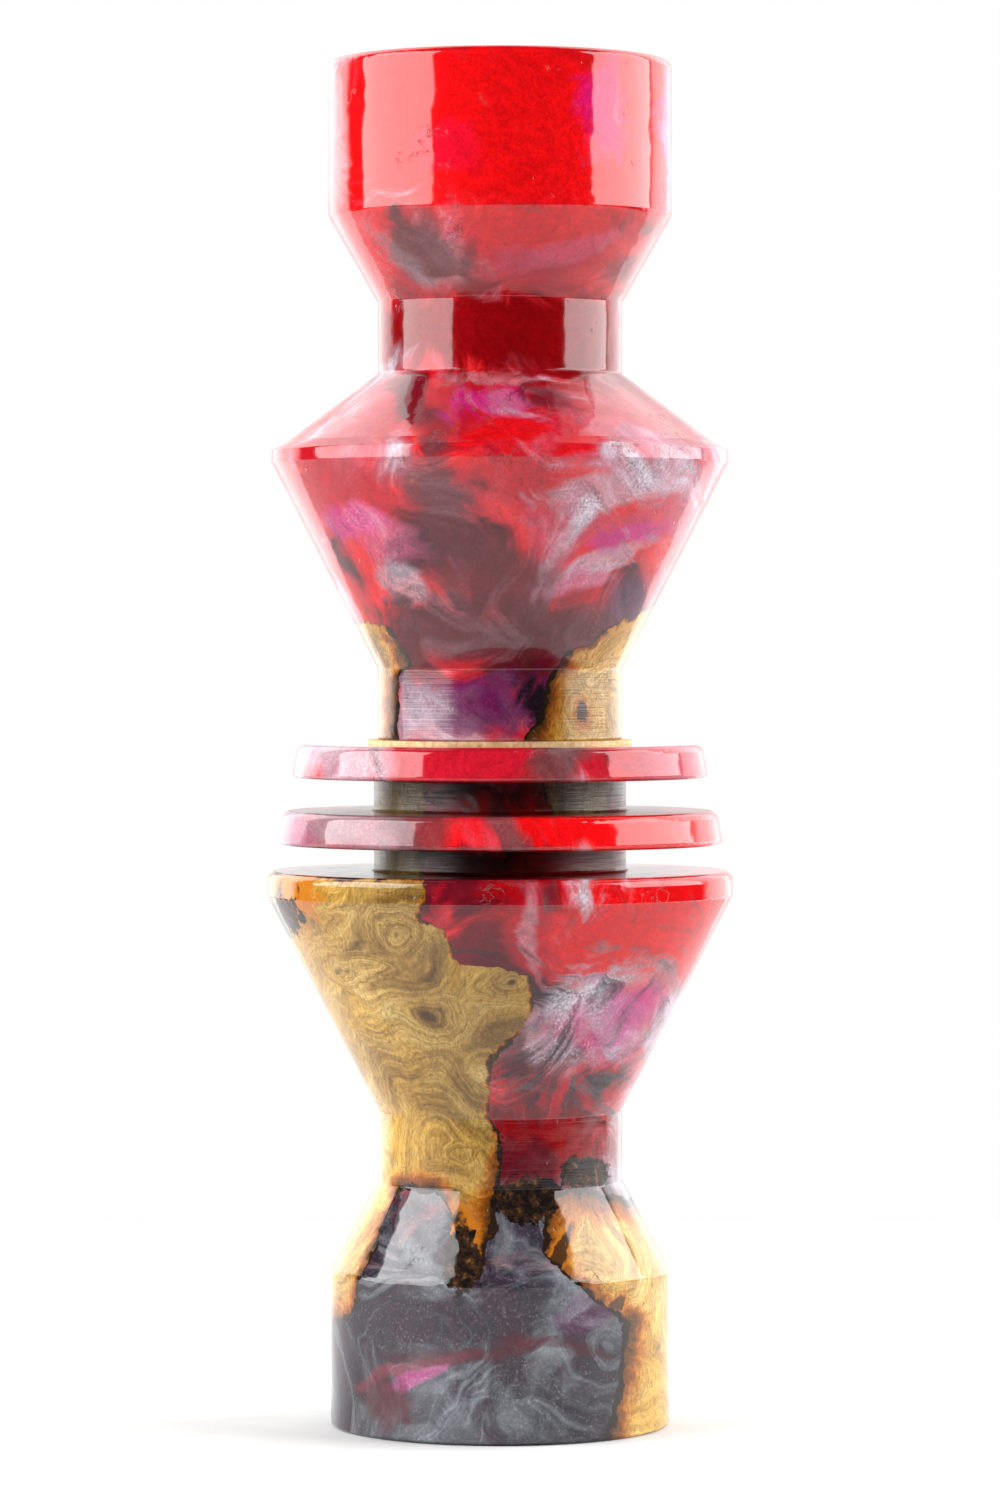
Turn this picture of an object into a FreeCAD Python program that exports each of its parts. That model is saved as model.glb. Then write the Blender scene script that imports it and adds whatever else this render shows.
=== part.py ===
import FreeCAD, Part
import math
import os

# A duck call standing on its exhaust end: a barrel over an insert, both turned from blanks that were
# cast from resin round slabs of burl wood. Millimetres, +Z up through the bore, the origin at the
# middle of the exhaust end's flat face, and -Y towards the side that the reeds face.

# --- Bore and fits ---------------------------------------------------------------------------
BORE_DIAMETER = 15.88          # five-eighths bore, through the barrel and down into the insert
TONE_BOARD_FIT = 0.03          # between the tone board's rod and either bore, on the radius
O_RING_FIT = 0.04              # between an O-ring and what it seals against, on the radius

# --- Insert, from the exhaust end up -----------------------------------------------------------
BASE_DIAMETER = 31.6
BASE_HEIGHT = 14.6
FLARE_HEIGHT = 8.2
NECK_DIAMETER = 22.8
LOWER_NECK_HEIGHT = 6.6
LOWER_CONE_HEIGHT = 20.0
FLANGE_DIAMETER = 43.5
FLANGE_HEIGHT = 2.3
GROOVE_DIAMETER = 23.5
LOWER_GROOVE_HEIGHT = 2.5
LOWER_DISC_DIAMETER = 41.7
LOWER_DISC_HEIGHT = 3.1
UPPER_GROOVE_HEIGHT = 3.1
UPPER_DISC_DIAMETER = 38.9
UPPER_DISC_HEIGHT = 3.1
DISC_RIM_TAPER = 0.6           # how much less the radius is at the top of a disc's rim
SOCKET_DEPTH = 30.0            # how far the tone board goes down into the insert
EXHAUST_DIAMETER = 9.5
BELL_DIAMETER = 22.0
BELL_DEPTH = 16.0

# --- Barrel, from the insert up ----------------------------------------------------------------
WASHER_THICKNESS = 0.4
WASHER_DIAMETER = 24.6
BARREL_FOOT_HEIGHT = 6.6
BARREL_CONE_HEIGHT = 19.15
EDGE_DIAMETER = 42.6
EDGE_HEIGHT = 1.2
SHOULDER_HEIGHT = 7.1
SHOULDER_LIP_WIDTH = 1.4       # the shallow lip that the shoulder ends in, at the edge
SHOULDER_LIP_HEIGHT = 0.75
UPPER_NECK_HEIGHT = 6.6
CUP_FLARE_HEIGHT = 8.0
MOUTHPIECE_DIAMETER = 32.0
MOUTHPIECE_HEIGHT = 14.45
DISH_DIAMETER = 26.0           # the dished lip of the mouthpiece, where it meets the flat rim
DISH_DEPTH = 5.0

# --- Corner roundings --------------------------------------------------------------------------
CRISP = 0.25                   # corners left by the point of the turning tool
EASED = 0.8                    # corners eased with abrasive
FOOT = 0.4                     # feet of the grooves and necks

# --- Tone board and reeds ----------------------------------------------------------------------
TONE_BOARD_LENGTH = 80.0
O_RING_SECTION = 1.78
O_RING_GROOVE_WIDTH = 2.3
O_RING_HEIGHTS = (3.0, 7.0)    # of the rings' centres, above the insert
WEDGE_SLOT_HEIGHT = 9.5        # where the wedge slot starts, above the insert
WEDGE_SLOT_LENGTH = 9.0
WEDGE_SLOT_OPENING = 3.2
TABLE_OFFSET = 1.4             # from the bore's axis to the flat that the reeds lie on
TABLE_FLAT_LENGTH = 6.0        # flat part of the table beyond the wedge slot
TABLE_DROP = 1.8               # how far the table falls away from the reeds at its tip
TIP_RADIUS = 5.5
CHANNEL_WIDTH = 4.8
CHANNEL_FLOOR = 4.6            # depth of the air channel's floor behind the bore's axis
CHANNEL_START = 1.4            # how far above the wedge slot the air channel starts
CHANNEL_ROUNDING = 2.29        # of the air channel's corners at its tip
TIP_RAIL = 2.6
AIR_BORE_DIAMETER = 5.6
AIR_BORE_OFFSET = 2.4          # of the air bore's axis behind the bore's axis
REED_THICKNESS = 0.25
REED_WIDTH = 14.2
REED_SEAT_DEPTH = 8.5          # how deep the reeds and the wedge go into the slot
LOWER_REED_SETBACK = 0.6       # of the reed's tip behind the tone board's tip
UPPER_REED_SETBACK = 3.6
WEDGE_PROUD = 2.5              # how far the cork stands out of its slot
WEDGE_WIDTH = 11.0
WEDGE_TAPER = 0.7              # how much thinner the cork is at its inner end
REED_GAP = 0.02                # air between the table, each reed and the cork
REED_TIP_RADIUS = 5.0

# --- Heights worked out from the above ---------------------------------------------------------
flare_top = BASE_HEIGHT + FLARE_HEIGHT
lower_neck_top = flare_top + LOWER_NECK_HEIGHT
lower_cone_top = lower_neck_top + LOWER_CONE_HEIGHT
flange_top = lower_cone_top + FLANGE_HEIGHT
lower_groove_top = flange_top + LOWER_GROOVE_HEIGHT
lower_disc_top = lower_groove_top + LOWER_DISC_HEIGHT
upper_groove_top = lower_disc_top + UPPER_GROOVE_HEIGHT
insert_top = upper_groove_top + UPPER_DISC_HEIGHT
barrel_bottom = insert_top + WASHER_THICKNESS
barrel_foot_top = barrel_bottom + BARREL_FOOT_HEIGHT
edge_bottom = barrel_foot_top + BARREL_CONE_HEIGHT
edge_top = edge_bottom + EDGE_HEIGHT
shoulder_top = edge_top + SHOULDER_HEIGHT
upper_neck_top = shoulder_top + UPPER_NECK_HEIGHT
cup_bottom = upper_neck_top + CUP_FLARE_HEIGHT
barrel_top = cup_bottom + MOUTHPIECE_HEIGHT

bore_radius = BORE_DIAMETER / 2
rod_radius = bore_radius - TONE_BOARD_FIT
socket_floor = insert_top - SOCKET_DEPTH
board_tip = socket_floor + TONE_BOARD_LENGTH
slot_bottom = insert_top + WEDGE_SLOT_HEIGHT
slot_top = slot_bottom + WEDGE_SLOT_LENGTH
curve_start = slot_top + TABLE_FLAT_LENGTH
seat_bottom = slot_top - REED_SEAT_DEPTH


# --- Turned shapes -----------------------------------------------------------------------------
def rounded_wire(corners):
    """A closed outline in the XZ plane. Each corner is (x, z, rounding)."""
    points = [FreeCAD.Vector(x, 0, z) for x, z, _ in corners]
    edges = []
    starts = []
    ends = []
    arcs = []
    for index, (x, z, rounding) in enumerate(corners):
        corner = points[index]
        if rounding == 0:
            starts.append(corner)
            ends.append(corner)
            arcs.append(None)
            continue
        back = (points[index - 1] - corner).normalize()
        ahead = (points[(index + 1) % len(points)] - corner).normalize()
        half_angle = back.getAngle(ahead) / 2
        setback = rounding / math.tan(half_angle)
        inward = (back + ahead).normalize()
        middle = corner + inward * (rounding / math.sin(half_angle) - rounding)
        starts.append(corner + back * setback)
        ends.append(corner + ahead * setback)
        arcs.append(Part.Arc(starts[-1], middle, ends[-1]).toShape())
    for index in range(len(corners)):
        if arcs[index]:
            edges.append(arcs[index])
        following = (index + 1) % len(corners)
        edges.append(Part.makeLine(ends[index], starts[following]))
    return Part.Wire(edges)


def turned(corners):
    """The solid that the outline (radius, height, rounding) sweeps round the bore's axis."""
    face = Part.Face(rounded_wire(corners))
    return face.revolve(FreeCAD.Vector(0, 0, 0), FreeCAD.Vector(0, 0, 1), 360)


def rod(radius, bottom, top, behind=0.0):
    """An upright cylinder whose axis is a distance behind the bore's axis."""
    return Part.makeCylinder(radius, top - bottom, FreeCAD.Vector(0, behind, bottom))


def block(x_range, y_range, z_range):
    """A box between two limits along each axis."""
    lows, highs = zip(x_range, y_range, z_range)
    size = [high - low for low, high in zip(lows, highs)]
    return Part.makeBox(*size, FreeCAD.Vector(*lows))


def turned_insert():
    base = BASE_DIAMETER / 2
    neck = NECK_DIAMETER / 2
    flange = FLANGE_DIAMETER / 2
    groove = GROOVE_DIAMETER / 2
    lower_disc = LOWER_DISC_DIAMETER / 2
    upper_disc = UPPER_DISC_DIAMETER / 2
    exhaust = EXHAUST_DIAMETER / 2
    return turned([
        (BELL_DIAMETER / 2, 0, EASED),
        (base, 0, EASED / 2),
        (base, BASE_HEIGHT, EASED),
        (neck, flare_top, FOOT),
        (neck, lower_neck_top, FOOT),
        (flange, lower_cone_top, CRISP),
        (flange, flange_top, EASED),
        (groove, flange_top, FOOT),
        (groove, lower_groove_top, FOOT),
        (lower_disc, lower_groove_top, FOOT),
        (lower_disc - DISC_RIM_TAPER, lower_disc_top, EASED),
        (groove, lower_disc_top, FOOT),
        (groove, upper_groove_top, FOOT),
        (upper_disc, upper_groove_top, FOOT),
        (upper_disc - DISC_RIM_TAPER, insert_top, EASED),
        (bore_radius, insert_top, CRISP),
        (bore_radius, socket_floor, 0),
        (exhaust, socket_floor, 0),
        (exhaust, BELL_DEPTH, 2 * EASED),
    ])


def turned_barrel():
    neck = NECK_DIAMETER / 2
    edge = EDGE_DIAMETER / 2
    mouth = MOUTHPIECE_DIAMETER / 2
    return turned([
        (bore_radius, barrel_bottom, CRISP),
        (neck, barrel_bottom, CRISP),
        (neck, barrel_foot_top, FOOT),
        (edge, edge_bottom, CRISP),
        (edge, edge_top, CRISP),
        (edge - SHOULDER_LIP_WIDTH, edge_top + SHOULDER_LIP_HEIGHT, CRISP),
        (neck, shoulder_top, FOOT),
        (neck, upper_neck_top, FOOT),
        (mouth, cup_bottom, EASED),
        (mouth, barrel_top, EASED),
        (DISH_DIAMETER / 2, barrel_top, EASED),
        (bore_radius, barrel_top - DISH_DEPTH, 2 * EASED),
    ])


# --- Burl slabs inside the cast blanks -----------------------------------------------------------
# The resin was cast round slabs of burl whose live edges run from front to back. A live edge is a free
# shape. Its points are (across, up): across is a share of the blank's half width, and up is a share of
# the blank's length from its lower end.
BLANK_HALF_WIDTH = 22.0
CORE_HALF_DEPTH = 13.0         # half thickness of the thinner burl inside the discs
CORE_OUTER = 16.0              # how far from the axis that burl reaches
OUTSIDE = 1.1                  # a share that lies outside the blank

INSERT_LEFT_EDGE = [
    (-0.300, 0.800), (-0.323, 0.762), (-0.245, 0.742), (-0.175, 0.694), (-0.035, 0.680), (0.090, 0.689),
    (0.145, 0.660), (0.120, 0.615), (0.060, 0.582), (-0.032, 0.543), (-0.050, 0.485), (0.003, 0.415),
    (-0.012, 0.345), (-0.010, 0.310), (-0.073, 0.240),
]
INSERT_INCLUSION_EDGE = [
    (-0.190, 0.240), (-0.200, 0.316), (-0.300, 0.350), (-0.410, 0.352), (-0.500, 0.290),
    (-0.590, 0.222), (-0.640, 0.165), (-0.740, 0.145),
]
INSERT_RIGHT_TOP = [(0.560, 0.335), (0.400, 0.352), (0.230, 0.358)]
INSERT_RIGHT_EDGE = [
    (0.185, 0.315), (0.172, 0.288), (0.235, 0.255), (0.360, 0.215), (0.500, 0.172),
    (0.502, 0.110), (0.470, 0.060), (0.435, -0.010),
]
INSERT_CORE_EDGE = [(-0.310, 0.790), (-0.305, 0.880), (-0.325, 0.975)]
INSERT_UPPER_LEFT = [(0.240, 0.890), (0.195, 0.930), (0.150, 0.985)]
INSERT_UPPER_RIGHT = [(0.490, 0.985), (0.475, 0.940), (0.455, 0.890)]
BARREL_LEFT_EDGE = [
    (-0.680, 0.184), (-0.565, 0.172), (-0.475, 0.165), (-0.428, 0.146), (-0.378, 0.118),
    (-0.372, 0.105), (-0.410, 0.095), (-0.425, 0.060), (-0.423, -0.010),
]
BARREL_RIGHT_EDGE = [
    (0.700, 0.205), (0.590, 0.187), (0.440, 0.160), (0.355, 0.140), (0.268, 0.127),
    (0.245, 0.108), (0.192, 0.086), (0.168, 0.050), (0.090, -0.010),
]
# Bits of bark that broke off in the casting: the middle of each, then its half width and half height.
BARK_CHIPS = [(0.118, 0.352, 2.4, 1.9), (0.355, 0.383, 1.8, 1.2)]
BARK_CHIP_DEPTH = 4.0
BARK_CHIP_POINTS = 6           # points on a bit's outline that its curve goes through


def in_blank(points, bottom, length):
    """Points given as shares of a blank, as places in the XZ plane."""
    return [FreeCAD.Vector(across * BLANK_HALF_WIDTH, 0, bottom + up * length) for across, up in points]


def slab(live_edges, corners, half_depth):
    """A prism from front to back. Live edges follow each other, and lines through corners close it."""
    edges = []
    for points in live_edges:
        curve = Part.BSplineCurve()
        curve.interpolate(points)
        edges.append(curve.toShape())
    for points, following in zip(live_edges, live_edges[1:]):
        edges.append(Part.makeLine(points[-1], following[0]))
    straight = [live_edges[-1][-1]] + corners + [live_edges[0][0]]
    for start, end in zip(straight, straight[1:]):
        edges.append(Part.makeLine(start, end))
    face = Part.Face(Part.Wire(Part.sortEdges(edges)[0]))
    face.translate(FreeCAD.Vector(0, -half_depth, 0))
    return face.extrude(FreeCAD.Vector(0, 2 * half_depth, 0))


def insert_slabs():
    """The burl in the insert's blank: the large left slab, the right one and the small upper one."""
    def live(points):
        return in_blank(points, 0, insert_top)

    depth = OUTSIDE * BLANK_HALF_WIDTH
    under = INSERT_INCLUSION_EDGE[-1][1]
    over = flange_top / insert_top
    left_corners = [(-OUTSIDE, under), (-OUTSIDE, over), (INSERT_LEFT_EDGE[0][0], over)]
    left = slab([live(INSERT_LEFT_EDGE), live(INSERT_INCLUSION_EDGE)], live(left_corners), depth)
    core_edge = live(INSERT_CORE_EDGE)
    core_corners = [FreeCAD.Vector(-CORE_OUTER, 0, point.z) for point in (core_edge[-1], core_edge[0])]
    core = slab([core_edge], core_corners, CORE_HALF_DEPTH)
    right_corners = [(OUTSIDE, INSERT_RIGHT_EDGE[-1][1]), (OUTSIDE, INSERT_RIGHT_TOP[0][1])]
    right = slab([live(INSERT_RIGHT_TOP), live(INSERT_RIGHT_EDGE)], live(right_corners), depth)
    upper = slab([live(INSERT_UPPER_LEFT), live(INSERT_UPPER_RIGHT)], [], CORE_HALF_DEPTH)
    return left.fuse(core), right, upper


def barrel_slabs():
    """The burl at the barrel's lower end, left and right."""
    slabs = []
    for edge, side in ((BARREL_LEFT_EDGE, -1), (BARREL_RIGHT_EDGE, 1)):
        ends = (edge[-1][1], edge[0][1])
        corners = [(side * OUTSIDE, up) for up in ends]
        barrel_length = barrel_top - barrel_bottom
        outline = in_blank(edge, barrel_bottom, barrel_length)
        slabs.append(slab([outline], in_blank(corners, barrel_bottom, barrel_length),
                          OUTSIDE * BLANK_HALF_WIDTH))
    return slabs


def bark_chips(body):
    """Small lozenges of bark let into the front of the insert's lower neck."""
    chips = []
    skin = NECK_DIAMETER / 2 - BARK_CHIP_DEPTH
    for across, up, half_width, half_height in BARK_CHIPS:
        middle = in_blank([(across, up)], 0, insert_top)[0]
        rim = [
            middle + FreeCAD.Vector(half_width * math.cos(turn), 0, half_height * math.sin(turn))
            for turn in [math.tau * step / BARK_CHIP_POINTS for step in range(BARK_CHIP_POINTS)]
        ]
        curve = Part.BSplineCurve()
        curve.interpolate(rim, PeriodicFlag=True)
        face = Part.Face(Part.Wire(curve.toShape()))
        reach = math.sqrt(max(skin ** 2 - middle.x ** 2, 0))
        face.translate(FreeCAD.Vector(0, -OUTSIDE * BLANK_HALF_WIDTH, 0))
        chips.append(face.extrude(FreeCAD.Vector(0, OUTSIDE * BLANK_HALF_WIDTH - reach, 0)).common(body))
    return chips


# --- Tone board, reeds, wedge and seals ------------------------------------------------------------
def rounded_plan(half_width, bottom, top, tip_rounding):
    """A flat outline in the XZ plane, square at its foot and rounded at its tip."""
    return rounded_wire([
        (-half_width, bottom, 0),
        (half_width, bottom, 0),
        (half_width, top, tip_rounding),
        (-half_width, top, tip_rounding),
    ])


def plate(outline, front, back):
    """An outline in the XZ plane given thickness from front to back."""
    face = Part.Face(outline)
    face.translate(FreeCAD.Vector(0, front, 0))
    return face.extrude(FreeCAD.Vector(0, back - front, 0))


o_ring_inner = bore_radius - 2 * O_RING_FIT - O_RING_SECTION
o_ring_centres = [insert_top + height for height in O_RING_HEIGHTS]


def tone_board():
    """The rod that seats in both bores, with its O-ring grooves, wedge slot, table and air way."""
    board = rod(rod_radius, socket_floor, board_tip)
    for centre in o_ring_centres:
        low = centre - O_RING_GROOVE_WIDTH / 2
        high = centre + O_RING_GROOVE_WIDTH / 2
        board = board.cut(rod(bore_radius, low, high).cut(rod(o_ring_inner, low, high)))

    table = -TABLE_OFFSET
    far_front = -2 * bore_radius
    past_tip = board_tip + bore_radius
    curve_length = board_tip - curve_start
    curve_radius = (curve_length ** 2 + TABLE_DROP ** 2) / (2 * TABLE_DROP)
    half_way = math.asin(curve_length / curve_radius) / 2
    middle = FreeCAD.Vector(
        0,
        table + curve_radius * (1 - math.cos(half_way)),
        curve_start + curve_radius * math.sin(half_way),
    )
    flat_start = FreeCAD.Vector(0, table, slot_top)
    flat_end = FreeCAD.Vector(0, table, curve_start)
    tip = FreeCAD.Vector(0, table + TABLE_DROP, board_tip)
    beyond = FreeCAD.Vector(0, table + TABLE_DROP, past_tip)
    front_top = FreeCAD.Vector(0, far_front, past_tip)
    front_bottom = FreeCAD.Vector(0, far_front, slot_top)
    outline = [
        Part.makeLine(flat_start, flat_end),
        Part.Arc(flat_end, middle, tip).toShape(),
        Part.makeLine(tip, beyond),
        Part.makeLine(beyond, front_top),
        Part.makeLine(front_top, front_bottom),
        Part.makeLine(front_bottom, flat_start),
    ]
    face = Part.Face(Part.Wire(outline))
    face.translate(FreeCAD.Vector(-2 * bore_radius, 0, 0))
    board = board.cut(face.extrude(FreeCAD.Vector(4 * bore_radius, 0, 0)))

    across = (-2 * bore_radius, 2 * bore_radius)
    slot_front = table - WEDGE_SLOT_OPENING
    board = board.cut(block(across, (slot_front, table), (slot_bottom, slot_top)))
    plan = rounded_plan(rod_radius, socket_floor, board_tip, TIP_RADIUS)
    board = board.common(plate(plan, -2 * bore_radius, 2 * bore_radius))

    channel_bottom = slot_top + CHANNEL_START
    channel_plan = rounded_plan(CHANNEL_WIDTH / 2, channel_bottom, board_tip - TIP_RAIL, CHANNEL_ROUNDING)
    board = board.cut(plate(channel_plan, far_front, CHANNEL_FLOOR))
    air_top = channel_bottom + AIR_BORE_DIAMETER
    return board.cut(rod(AIR_BORE_DIAMETER / 2, socket_floor, air_top, AIR_BORE_OFFSET))


def reed(index, setback):
    """A plastic reed. The first lies on the table and the second on the first."""
    front = -TABLE_OFFSET - (index + 1) * (REED_THICKNESS + REED_GAP)
    outline = rounded_plan(REED_WIDTH / 2, seat_bottom, board_tip - setback, REED_TIP_RADIUS)
    return plate(outline, front, front + REED_THICKNESS)


def reed_wedge():
    """The cork that holds both reeds down in the slot. Its inner end is the thinner one."""
    back = -TABLE_OFFSET - 2 * (REED_THICKNESS + REED_GAP)
    roof = -TABLE_OFFSET - WEDGE_SLOT_OPENING
    slope = WEDGE_TAPER / (slot_top - seat_bottom)
    outline = [
        FreeCAD.Vector(0, back, seat_bottom),
        FreeCAD.Vector(0, back, slot_top + WEDGE_PROUD),
        FreeCAD.Vector(0, roof - slope * WEDGE_PROUD, slot_top + WEDGE_PROUD),
        FreeCAD.Vector(0, roof + WEDGE_TAPER, seat_bottom),
    ]
    face = Part.Face(Part.makePolygon(outline + outline[:1]))
    face.translate(FreeCAD.Vector(-WEDGE_WIDTH / 2, 0, 0))
    return face.extrude(FreeCAD.Vector(WEDGE_WIDTH, 0, 0))


def o_ring(centre):
    """One round-section ring in its groove."""
    middle = o_ring_inner + O_RING_FIT + O_RING_SECTION / 2
    return Part.makeTorus(middle, O_RING_SECTION / 2, FreeCAD.Vector(0, 0, centre))


# --- The pieces ------------------------------------------------------------------------------------
def make_pieces():
    insert = turned_insert()
    left, right, upper = insert_slabs()
    chips = bark_chips(insert)
    insert_resin = insert.cut([left, right, upper] + chips)
    barrel = turned_barrel()
    barrel_left, barrel_right = barrel_slabs()
    washer = rod(WASHER_DIAMETER / 2, insert_top, barrel_bottom)
    return {
        "insert_resin": insert_resin,
        "insert_burl_left": insert.common(left).cut(chips),
        "insert_burl_right": insert.common(right).cut(chips),
        "insert_burl_upper": insert.common(upper),
        "insert_bark_chips": Part.makeCompound(chips),
        "joint_washer": washer.cut(rod(bore_radius, insert_top, barrel_bottom)),
        "tone_board": tone_board(),
        "lower_reed": reed(0, LOWER_REED_SETBACK),
        "upper_reed": reed(1, UPPER_REED_SETBACK),
        "reed_wedge": reed_wedge(),
        "lower_o_ring": o_ring(o_ring_centres[0]),
        "upper_o_ring": o_ring(o_ring_centres[1]),
        "barrel_resin": barrel.cut([barrel_left, barrel_right]),
        "barrel_burl_left": barrel.common(barrel_left),
        "barrel_burl_right": barrel.common(barrel_right),
    }


def main():
    os.makedirs("parts", exist_ok=True)
    for node, shape in make_pieces().items():
        if not shape.isValid() or shape.Volume <= 0:
            raise ValueError(f"{node} is not a valid solid")
        shape.exportStep(f"parts/{node}.step")
        print(node, len(shape.Solids), "solids", round(shape.Volume, 2), "mm3")


main()
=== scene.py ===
"""The looks of a turned duck call: marbled resin and burl wood, with a reeded tone board inside."""
import math

import bpy
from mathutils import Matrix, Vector


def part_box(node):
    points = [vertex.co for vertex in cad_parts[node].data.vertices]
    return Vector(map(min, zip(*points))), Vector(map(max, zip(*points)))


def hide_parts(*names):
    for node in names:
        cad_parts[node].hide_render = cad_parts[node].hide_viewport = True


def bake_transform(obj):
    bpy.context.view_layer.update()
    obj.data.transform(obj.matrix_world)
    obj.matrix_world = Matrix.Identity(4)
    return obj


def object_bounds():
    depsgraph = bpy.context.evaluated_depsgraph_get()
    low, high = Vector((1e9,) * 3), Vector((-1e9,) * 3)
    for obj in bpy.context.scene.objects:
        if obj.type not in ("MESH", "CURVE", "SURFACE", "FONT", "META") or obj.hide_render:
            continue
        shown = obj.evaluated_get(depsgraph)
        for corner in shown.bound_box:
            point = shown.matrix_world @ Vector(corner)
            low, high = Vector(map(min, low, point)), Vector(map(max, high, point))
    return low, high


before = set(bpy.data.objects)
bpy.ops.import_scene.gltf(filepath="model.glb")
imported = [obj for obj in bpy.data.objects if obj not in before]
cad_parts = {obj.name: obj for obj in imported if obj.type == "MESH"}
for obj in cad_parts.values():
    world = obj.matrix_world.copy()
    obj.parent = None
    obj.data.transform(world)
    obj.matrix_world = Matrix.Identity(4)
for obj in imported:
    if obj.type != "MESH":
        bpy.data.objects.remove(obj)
cad_low, cad_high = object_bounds()

MM = 0.001

# --- Colours, linear -------------------------------------------------------------------------------
COLOURS = {
    "bright": (0.82, 0.004, 0.006),
    "crimson": (0.52, 0.008, 0.022),
    "rose": (0.62, 0.05, 0.10),
    "deep": (0.26, 0.001, 0.003),
    "maroon": (0.095, 0.004, 0.012),
    "plum": (0.030, 0.018, 0.030),
    "smoke": (0.165, 0.034, 0.038),
    "ash": (0.26, 0.22, 0.25),
    "violet": (0.16, 0.010, 0.10),
    "magenta": (0.66, 0.010, 0.30),
    "pink": (0.66, 0.11, 0.25),
    "pearl": (0.66, 0.42, 0.50),
    "silver": (0.52, 0.46, 0.52),
    "storm": (0.026, 0.022, 0.032),
    "dusk": (0.125, 0.016, 0.022),
    "black": (0.012, 0.006, 0.012),
}
# How much mica shows in each colour. The rest of the colours are clear dye.
MICA = {"silver": 1.0, "pearl": 0.9, "pink": 0.75, "magenta": 0.6, "ash": 0.5, "storm": 0.42, "violet": 0.32,
        "dusk": 0.15, "smoke": 0.12}

# The resin under the patches, from its darkest to its palest.
RESIN_STOPS = [
    (0.37, COLOURS["plum"]), (0.42, COLOURS["maroon"]), (0.46, COLOURS["crimson"]),
    (0.52, COLOURS["bright"]), (0.57, COLOURS["rose"]), (0.63, COLOURS["silver"]),
]

# --- Patches of colour in the resin ----------------------------------------------------------------
# Each is (colour, across, up, half width, half height, tilt in degrees, strength). Places and sizes
# are shares of the piece: across in half widths from its axis, up in heights from its lower end.
BARREL_PATCHES = [
    ("bright", 0.00, 0.885, 1.60, 0.185, 0, 1.0),
    ("ash", -0.74, 0.891, 0.06, 0.131, 0, 0.6),
    ("magenta", 0.44, 0.911, 0.14, 0.075, 0, 0.45),
    ("magenta", -0.21, 0.851, 0.13, 0.040, -30, 0.06),
    ("magenta", 0.74, 0.877, 0.07, 0.100, 0, 0.7),
    ("crimson", 0.00, 0.693, 0.65, 0.067, 0, 0.8),
    ("bright", 0.15, 0.735, 0.40, 0.030, 0, 0.6),
    ("pink", 0.30, 0.712, 0.30, 0.018, 15, 0.35),
    ("smoke", -0.33, 0.712, 0.26, 0.044, -35, 1.0),
    ("silver", -0.44, 0.712, 0.24, 0.016, -38, 0.16),
    ("silver", -0.22, 0.664, 0.18, 0.012, -30, 0.20),
    ("dusk", 0.52, 0.672, 0.17, 0.026, 20, 0.7),
    ("crimson", 0.00, 0.480, 1.20, 0.060, 0, 0.75),
    ("crimson", -0.60, 0.447, 0.30, 0.038, 20, 0.9),
    ("maroon", -0.38, 0.492, 0.12, 0.055, 20, 0.9),
    ("silver", -0.02, 0.518, 0.34, 0.009, -4, 0.22),
    ("magenta", -0.05, 0.486, 0.22, 0.022, 5, 0.55),
    ("pink", 0.06, 0.466, 0.16, 0.008, -8, 0.6),
    ("bright", 0.00, 0.442, 0.25, 0.020, 0, 0.9),
    ("maroon", 0.22, 0.502, 0.14, 0.030, -15, 0.8),
    ("crimson", 0.60, 0.495, 0.45, 0.055, -20, 0.80),
    ("rose", 0.42, 0.470, 0.22, 0.018, -12, 0.7),
    ("pink", 0.66, 0.440, 0.24, 0.016, -14, 0.6),
    ("deep", 0.00, 0.592, 1.50, 0.066, 0, 1.0),
    ("crimson", -0.62, 0.370, 0.30, 0.050, 0, 0.9),
    ("crimson", 0.16, 0.365, 0.16, 0.058, 0, 0.85),
    ("dusk", -0.22, 0.330, 0.13, 0.130, 32, 0.95),
    ("dusk", 0.02, 0.230, 0.40, 0.055, 0, 0.9),
    ("pink", -0.50, 0.285, 0.24, 0.030, -20, 0.50),
    ("magenta", -0.62, 0.310, 0.16, 0.026, -20, 0.5),
    ("silver", -0.40, 0.232, 0.14, 0.026, -40, 0.42),
    ("rose", 0.24, 0.290, 0.14, 0.060, 40, 0.6),
    ("silver", 0.48, 0.366, 0.30, 0.034, 14, 0.55),
    ("rose", 0.62, 0.318, 0.30, 0.024, 18, 0.80),
    ("magenta", 0.56, 0.300, 0.18, 0.016, 18, 0.6),
    ("silver", 0.44, 0.262, 0.24, 0.015, 24, 0.60),
    ("pink", 0.36, 0.236, 0.20, 0.016, 20, 0.6),
    ("dusk", 0.30, 0.172, 0.40, 0.040, 0, 0.7),
    ("storm", -0.30, 0.170, 0.22, 0.050, 0, 0.9),
    ("violet", 0.56, 0.215, 0.16, 0.040, 20, 0.4),
    ("dusk", 0.00, 0.150, 0.80, 0.060, 0, 1.0),
    ("maroon", 0.08, 0.118, 0.26, 0.018, 0, 0.8),
    ("violet", -0.10, 0.055, 0.42, 0.064, 0, 1.0),
    ("silver", -0.33, 0.055, 0.10, 0.050, 0, 0.35),
    ("black", 0.15, 0.045, 0.06, 0.070, 15, 1.0),
]
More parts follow.
